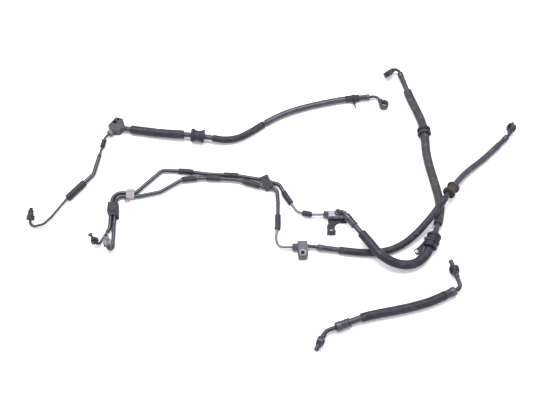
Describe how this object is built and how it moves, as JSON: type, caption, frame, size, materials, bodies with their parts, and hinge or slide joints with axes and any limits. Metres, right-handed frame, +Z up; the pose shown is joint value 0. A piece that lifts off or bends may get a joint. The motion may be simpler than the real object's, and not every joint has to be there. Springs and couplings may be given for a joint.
{
  "type": "hydraulic brake hose assembly",
  "caption": "Laid-out set of steel brake pipes and rubber-sleeved hydraulic hoses with flare nuts, clips, joint blocks, grommets and banjo eyes.",
  "frame": {"origin": "on the floor, at the middle of the laid-out set", "axes": "+X along the set from the flare nuts to the banjo eyes, +Y away from the short line, +Z up"},
  "size_m": [0.9101, 0.5964, 0.0348],
  "materials": {
    "bare_steel": "dull, lightly weathered",
    "black_steel": "satin black plating",
    "eye_steel": "worn black zinc plating",
    "ferrule_steel": "worn black zinc plating",
    "dull_zinc": "dull zinc",
    "bright_zinc": "bright zinc",
    "black_block": "satin black",
    "bare_aluminium": "bare, scratched",
    "grey_aluminium": "grey anodised",
    "hose_rubber": "smooth, semi-gloss",
    "hose_sheath": "smooth, glossy",
    "sleeve_rubber": "matte, dusty",
    "dusty_rubber": "matte, brown dust",
    "pipe_rubber": "matte",
    "pipe_coating": "satin coating",
    "white_plastic": "dusty off-white",
    "black_plastic": "satin black"
  },
  "bodies": {
    "twin_line": {"first_hose": "hose_rubber", "first_hose_lower_sleeve": "sleeve_rubber", "first_lower_grommet": "sleeve_rubber", "first_grommet_strap": "black_steel", "first_hose_upper_sleeve": "sleeve_rubber", "first_upper_grommet": "sleeve_rubber", "first_eye_ferrule": "ferrule_steel", "first_eye": "eye_steel", "second_hose": "hose_rubber", "second_hose_sleeve": "sleeve_rubber", "second_grommet": "dusty_rubber", "second_hose_sheath": "hose_sheath", "second_eye_ferrule": "ferrule_steel", "second_eye": "eye_steel", "first_pipe": "bare_steel", "second_pipe": "bare_steel", "first_pipe_cover": "pipe_coating", "second_pipe_cover": "pipe_coating", "rubber_clip": "sleeve_rubber", "band_clip": "white_plastic", "crossing_clamp": "black_plastic", "first_block_nut": "dull_zinc", "first_block_end": "ferrule_steel", "first_block_ferrule": "ferrule_steel", "first_block": "bare_aluminium", "first_bracket": "black_steel", "second_block_nut": "dull_zinc", "second_block_ferrule": "ferrule_steel", "second_block": "grey_aluminium", "pipe_sleeve_1": "pipe_rubber", "pipe_sleeve_2": "pipe_rubber", "pipe_sleeve_3": "pipe_rubber", "pipe_sleeve_4": "pipe_rubber", "pipe_sleeve_5": "pipe_rubber", "pipe_sleeve_6": "pipe_rubber", "pipe_sleeve_7": "pipe_rubber", "pipe_sleeve_8": "pipe_rubber"},
    "upper_line": {"upper_pipe": "bare_steel", "upper_pipe_long_sleeve": "sleeve_rubber", "upper_pipe_cover": "pipe_coating", "upper_pipe_short_sleeve": "sleeve_rubber", "upper_block_nut": "dull_zinc", "upper_joint_block": "black_block", "upper_block_ferrule": "ferrule_steel", "upper_hose": "hose_rubber", "upper_hose_sleeve_1": "sleeve_rubber", "upper_grommet": "sleeve_rubber", "upper_hose_sleeve_2": "sleeve_rubber", "upper_hose_sleeve_3": "hose_sheath", "upper_eye_ferrule": "ferrule_steel", "upper_eye": "eye_steel"},
    "short_line": {"short_hose": "hose_rubber", "short_hose_sleeve": "sleeve_rubber", "short_upper_ferrule": "ferrule_steel", "short_lower_ferrule": "ferrule_steel", "short_upper_eye": "eye_steel", "short_lower_eye": "eye_steel"},
    "upper_nut": {"upper_flare_nut": "black_steel"},
    "first_nut": {"first_flare_nut": "black_steel"},
    "second_nut": {"second_flare_nut": "bright_zinc"}
  },
  "joints": [
    {"name": "upper_line_lift", "type": "slide", "parent": "twin_line", "child": "upper_line", "axis": [0, 0, 1], "range_m": [0, 0.1]},
    {"name": "short_line_lift", "type": "slide", "parent": "twin_line", "child": "short_line", "axis": [0, 0, 1], "range_m": [0, 0.1]},
    {"name": "upper_nut_spin", "type": "hinge", "parent": "upper_line", "child": "upper_nut", "pos_m": [-0.4459, -0.0251, 0.0221], "axis": [0.0607, 0.902, 0.4275], "continuous": true},
    {"name": "first_nut_slide", "type": "slide", "parent": "twin_line", "child": "first_nut", "axis": [-0.4258, 0.4258, 0.7984], "range_m": [0, 0.0058]},
    {"name": "second_nut_spin", "type": "hinge", "parent": "twin_line", "child": "second_nut", "pos_m": [-0.3056, -0.0838, 0.0313], "axis": [-0.1464, 0.7156, 0.683], "continuous": true}
  ]
}
